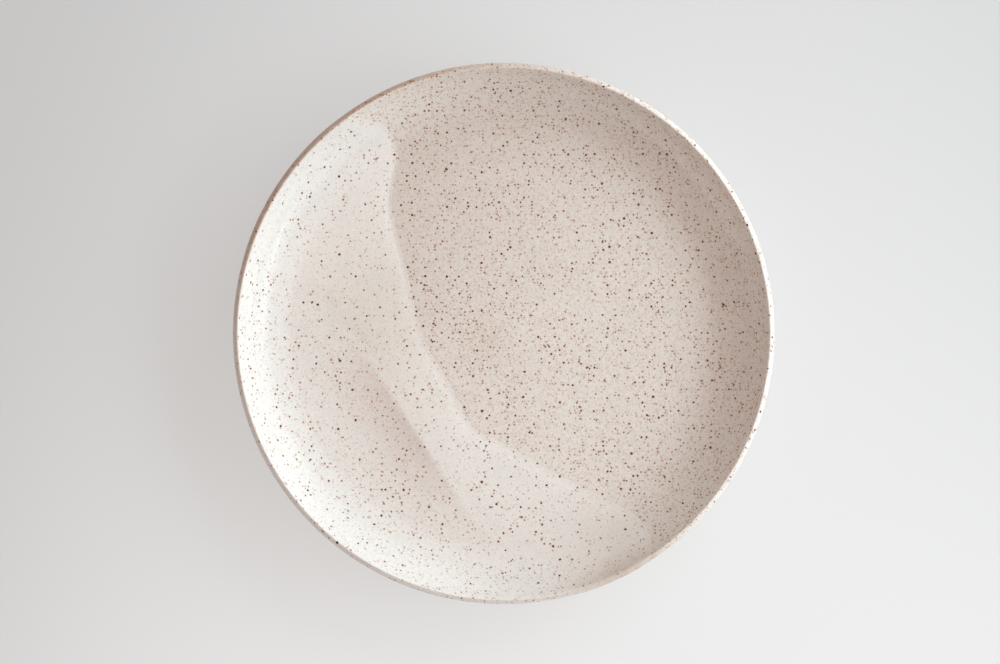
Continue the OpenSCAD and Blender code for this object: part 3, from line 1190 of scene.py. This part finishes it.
# The share of the floor's light that comes from below, and its tone where it is darkest
FLOOR_GLOW = 0.6
FLOOR_DARK = 0.70
# The surroundings' strength at the horizon, as a share of that overhead
HORIZON_SHARE = 0.64
PANEL_DISTANCE = 1.9
# Soft panels: name, the setting that holds its strength and a share of it, the way from +X and
# the rise in degrees, width, height, roll in degrees, and whether it lights the plate ("diffuse")
# or shows in its gloss ("glossy")
PANELS = (
    ("key_-20", "key_strength", 0.86, -20, 22, 1.4, 1.0, 0, "diffuse"),
    ("key_14", "key_strength", 1.07, 14, 22, 1.4, 1.0, 0, "diffuse"),
    ("key_47", "key_strength", 1.07, 47, 22, 1.4, 1.0, 0, "diffuse"),
    ("sheen_-35", "sheen_strength", 1.0, -35, 22, 1.6, 1.0, 0, "glossy"),
    ("sheen_10", "sheen_strength", 1.0, 10, 22, 1.6, 1.0, 0, "glossy"),
    ("sheen_55", "sheen_strength", 0.5, 55, 22, 1.6, 1.0, 0, "glossy"),
    ("strip", "strip_strength", 1.0, -15, 24, 0.8, 0.05, 28, "glossy"),
    ("bounce", "bounce_strength", 1.0, 245, 10, 2.0, 0.7, 0, "diffuse"),
    ("room", "room_strength", 1.0, 230, 8, 2.0, 0.7, 0, "glossy"),
)


def add_floor(look):
    """A wide pale floor under the plate, lit through from below."""
    shape = bmesh.new()
    bmesh.ops.create_circle(shape, cap_ends=True, segments=96, radius=FLOOR_RADIUS)
    mesh = bpy.data.meshes.new("floor")
    shape.to_mesh(mesh)
    shape.free()
    material, nodes = new_material("pale floor")
    place, across = nodes.coordinates()
    grain = nodes.noise(place, FLOOR_GRAIN, detail=2.0)
    # Painted light: the floor is paler to the right and lower down, and darker to the upper left
    # and far out to each side
    painted_light = 0.80 + across - across.beside("Y") * 2.0 - across * across * 6.3
    paler = (painted_light + (grain - 0.5) * 0.15).smooth(-0.25, 1.25)
    dark = [FLOOR_DARK * value for value in look.floor_colour]
    sheet = nodes.mix(paler, dark, look.floor_colour)
    finish_surface(
        nodes, nodes.scaled(sheet, 1 - FLOOR_GLOW), 0.75 + grain * 0.1, grain, FLOOR_RELIEF,
        Emission_Color=sheet, Emission_Strength=FLOOR_GLOW,
    )
    mesh.materials.append(material)
    floor = bpy.data.objects.new("floor", mesh)
    bpy.context.scene.collection.objects.link(floor)


def add_panel(look, name, strength, share, azimuth, elevation, width, height, roll, shines):
    """A soft panel that faces the plate, and lights it or shows in its gloss."""
    light = bpy.data.lights.new(name, "AREA")
    light.color = look.key_colour
    light.shape = "RECTANGLE"
    light.size, light.size_y = width, height
    light.energy = getattr(look, strength) * share * math.pi * width * height
    panel = bpy.data.objects.new(name, light)
    turn, rise = math.radians(azimuth), math.radians(elevation)
    level = math.cos(rise)
    way = Vector((math.cos(turn) * level, math.sin(turn) * level, math.sin(rise)))
    panel.location = way * PANEL_DISTANCE
    panel.rotation_euler = way.to_track_quat("Z", "Y").to_euler()
    panel.rotation_euler.rotate_axis("Z", math.radians(roll))
    panel.visible_camera = False
    panel.visible_diffuse = shines == "diffuse"
    panel.visible_glossy = shines == "glossy"
    bpy.context.scene.collection.objects.link(panel)


def add_surroundings(look):
    """Pale warm surroundings that brighten overhead."""
    world = bpy.data.worlds.new("soft studio")
    world.use_nodes = True
    world.node_tree.nodes.clear()
    nodes = Nodes(world.node_tree)
    way = nodes.add("ShaderNodeTexCoord", {}, {}, out="Generated")
    height = nodes.add("ShaderNodeSeparateXYZ", {}, {"Vector": way}).beside("Z")
    horizon = [HORIZON_SHARE * value for value in look.fill_colour]
    sky = nodes.mix(height.smooth(-0.1, 0.8), horizon, look.fill_colour)
    light = nodes.add("ShaderNodeBackground", {}, {"Color": sky, "Strength": look.fill_strength})
    nodes.add("ShaderNodeOutputWorld", {}, {"Surface": light})
    bpy.context.scene.world = world


def add_camera(plate):
    """A camera straight over the plate, framed as the photograph is."""
    sizes, look = plate.sizes, plate.stage
    lens_data = bpy.data.cameras.new("camera")
    camera = bpy.data.objects.new("camera", lens_data)
    bpy.context.scene.collection.objects.link(camera)
    pixel = (cad_box[1][0] - cad_box[0][0]) / PLATE_PIXELS
    lens_data.sensor_width = SENSOR_WIDTH
    lens_data.lens = SENSOR_WIDTH * look.camera_distance / (pixel * PHOTO_WIDTH)
    lip_level = sizes.plate_height - sizes.lip_thickness / 2
    across, up = (shift * pixel for shift in CAMERA_SHIFT)
    camera.location = (across, up, lip_level + look.camera_distance)
    bpy.context.scene.camera = camera


class COUPE_OT_stage(PlateOperator):
    """Sets out the pale floor, the soft light and the camera"""

    bl_idname = "coupe.stage"
    bl_label = "Floor, light and camera"

    def execute(self, context):
        plate = context.scene.coupe_plate
        context.scene.view_settings.view_transform = "Standard"
        add_floor(plate.stage)
        add_surroundings(plate.stage)
        for panel in PANELS:
            add_panel(plate.stage, *panel)
        add_camera(plate)
        return {"FINISHED"}


class COUPE_PT_plate(bpy.types.Panel):
    """The plate's settings and its pieces"""

    bl_idname = "COUPE_PT_plate"
    bl_label = "Coupe dinner plate"
    bl_space_type = "VIEW_3D"
    bl_region_type = "UI"
    bl_category = "Plate"

    def draw(self, context):
        plate = context.scene.coupe_plate
        for group in (plate.sizes, plate.glaze, plate.clay, plate.stage):
            box = self.layout.box()
            for name in group.__annotations__:
                box.prop(group, name)
        for operator in PIECES:
            self.layout.operator(operator.bl_idname)


PIECES = (COUPE_OT_clay_body, COUPE_OT_first_glaze, COUPE_OT_second_glaze, COUPE_OT_stage)
CLASSES = (PlateSizes, GlazeLook, ClayLook, StageLook, CoupePlate, *PIECES, COUPE_PT_plate)


def register():
    for each in CLASSES:
        bpy.utils.register_class(each)
    bpy.types.Scene.coupe_plate = PointerProperty(type=CoupePlate)


def unregister():
    del bpy.types.Scene.coupe_plate
    for each in reversed(CLASSES):
        bpy.utils.unregister_class(each)


def main():
    register()
    bpy.ops.coupe.clay_body()
    bpy.ops.coupe.first_glaze()
    bpy.ops.coupe.second_glaze()
    bpy.ops.coupe.stage()


if __name__ == "__main__":
    main()
